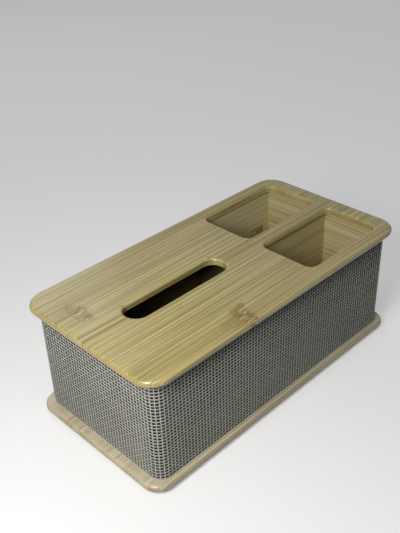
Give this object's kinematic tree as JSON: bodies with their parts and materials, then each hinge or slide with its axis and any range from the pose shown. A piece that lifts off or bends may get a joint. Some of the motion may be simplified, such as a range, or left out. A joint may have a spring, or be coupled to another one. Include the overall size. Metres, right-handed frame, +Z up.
{
  "type": "tissue box organizer",
  "caption": "Long bamboo box with a woven wrap and a lift-off lid: a tissue slot over a tissue space, and open pockets for small things at one end.",
  "frame": {"origin": "on the table under the middle of the box, at the bottom of the feet", "axes": "+X along the length towards the pockets, +Y from the front long side to the back one, +Z up"},
  "size_m": [0.26, 0.132, 0.0954],
  "materials": {
    "bamboo_lid": "satin lacquer",
    "bamboo_base": "satin lacquer",
    "bamboo_board": "sanded and oiled",
    "bamboo_cleat": "sanded",
    "woven_wrap": "open plain weave of flat yarn",
    "wrap_backing": "black felted backing",
    "foot_rubber": "matte",
    "screw_steel": "zinc plated"
  },
  "bodies": {
    "case": {"base_panel": "bamboo_base", "base_screws": "screw_steel", "wall_left": "bamboo_board", "wall_right": "bamboo_board", "wall_front": "bamboo_board", "wall_back": "bamboo_board", "cross_wall": "bamboo_board", "pocket_divider": "bamboo_board", "wrap_backing": "wrap_backing", "woven_wrap": "woven_wrap", "foot_front_left": "foot_rubber", "foot_front_right": "foot_rubber", "foot_back_left": "foot_rubber", "foot_back_right": "foot_rubber"},
    "lid": {"lid_panel": "bamboo_lid", "lid_cleat_front": "bamboo_cleat", "lid_cleat_back": "bamboo_cleat", "lid_cleat_left": "bamboo_cleat", "lid_cleat_right": "bamboo_cleat"}
  },
  "joints": [
    {"name": "lid_lift", "type": "slide", "parent": "case", "child": "lid", "axis": [0, 0, 1], "range_m": [0, 0.1]}
  ]
}
